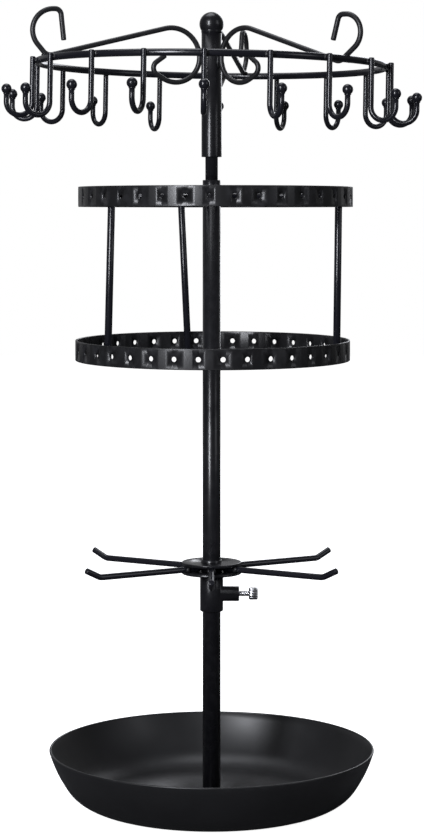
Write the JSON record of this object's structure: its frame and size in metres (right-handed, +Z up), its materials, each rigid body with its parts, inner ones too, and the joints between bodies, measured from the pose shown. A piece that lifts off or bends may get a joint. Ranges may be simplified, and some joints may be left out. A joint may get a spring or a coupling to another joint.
{
  "type": "rotating display rack",
  "caption": "Free-standing rotating jewellery rack: dish foot, pole, turning hook ring, turning pierced-band basket for earrings, and a sliding, turning set of bracelet arms.",
  "frame": {"origin": "on the surface the rack stands on, on the pole's axis", "axes": "+Z up along the pole, -Y towards the front, +X to the right"},
  "size_m": [0.2324, 0.2356, 0.4429],
  "materials": {
    "dish_coat": "satin",
    "pole_coat": "satin",
    "wire_coat": "semi-gloss",
    "band_coat": "matte",
    "pad_rubber": "matte",
    "nylon": "matte",
    "zinc_steel": "satin",
    "bright_steel": "polished"
  },
  "bodies": {
    "root": {"base_pad": "pad_rubber", "dish": "dish_coat", "foot_screw": "zinc_steel", "seat_washer": "pole_coat", "foot_insert": "zinc_steel", "lower_tube": "pole_coat", "rod_socket": "zinc_steel", "upper_rod": "pole_coat", "thrust_washer": "nylon"},
    "carousel": {"sleeve": "pole_coat", "sleeve_bush": "nylon", "top_bearing": "nylon", "ball_finial": "pole_coat", "hook_ring": "wire_coat", "hook_balls": "wire_coat", "scroll_arm_1": "wire_coat", "scroll_arm_2": "wire_coat", "scroll_arm_3": "wire_coat", "hook_01": "wire_coat", "hook_02": "wire_coat", "hook_03": "wire_coat", "hook_04": "wire_coat", "hook_05": "wire_coat", "hook_06": "wire_coat", "hook_07": "wire_coat", "hook_08": "wire_coat", "hook_09": "wire_coat", "hook_10": "wire_coat", "hook_11": "wire_coat", "hook_12": "wire_coat", "hook_13": "wire_coat", "hook_14": "wire_coat", "hook_15": "wire_coat", "hook_16": "wire_coat", "hook_17": "wire_coat", "hook_18": "wire_coat"},
    "basket": {"hub_tube": "pole_coat", "hub_bush": "nylon", "spokes": "wire_coat", "upper_band": "band_coat", "lower_band": "band_coat", "upright_1": "wire_coat", "upright_2": "wire_coat", "upright_3": "wire_coat"},
    "collar": {"clamp_collar": "pole_coat"},
    "bracelet_tier": {"lower_plate": "pole_coat", "upper_plate": "pole_coat", "plate_bush": "pole_coat", "bracelet_arm_1": "wire_coat", "bracelet_arm_2": "wire_coat", "bracelet_arm_3": "wire_coat", "bracelet_arm_4": "wire_coat", "bracelet_arm_5": "wire_coat", "bracelet_arm_6": "wire_coat"},
    "screw_stem": {"clamp_screw": "bright_steel"},
    "screw_knob": {"clamp_knob": "bright_steel"}
  },
  "joints": [
    {"name": "carousel_spin", "type": "hinge", "parent": "root", "child": "carousel", "pos_m": [0, 0, 0.416], "axis": [0, 0, 1], "continuous": true},
    {"name": "basket_spin", "type": "hinge", "parent": "root", "child": "basket", "pos_m": [0, 0, 0.3344], "axis": [0, 0, 1], "continuous": true},
    {"name": "collar_slide", "type": "slide", "parent": "root", "child": "collar", "axis": [0, 0, 1], "range_m": [-0.09, 0.1]},
    {"name": "bracelet_spin", "type": "hinge", "parent": "collar", "child": "bracelet_tier", "pos_m": [0, 0, 0.1283], "axis": [0, 0, 1], "continuous": true},
    {"name": "screw_travel", "type": "slide", "parent": "collar", "child": "screw_stem", "axis": [1, 0, 0], "range_m": [0, 0.0015]},
    {"name": "screw_turn", "type": "hinge", "parent": "screw_stem", "child": "screw_knob", "pos_m": [0.0208, 0, 0.117], "axis": [1, 0, 0], "range_deg": [0, 1080]}
  ],
  "couplings": [
    {"joint": "screw_turn", "follows": "screw_travel", "rad_per_m": 12566}
  ]
}
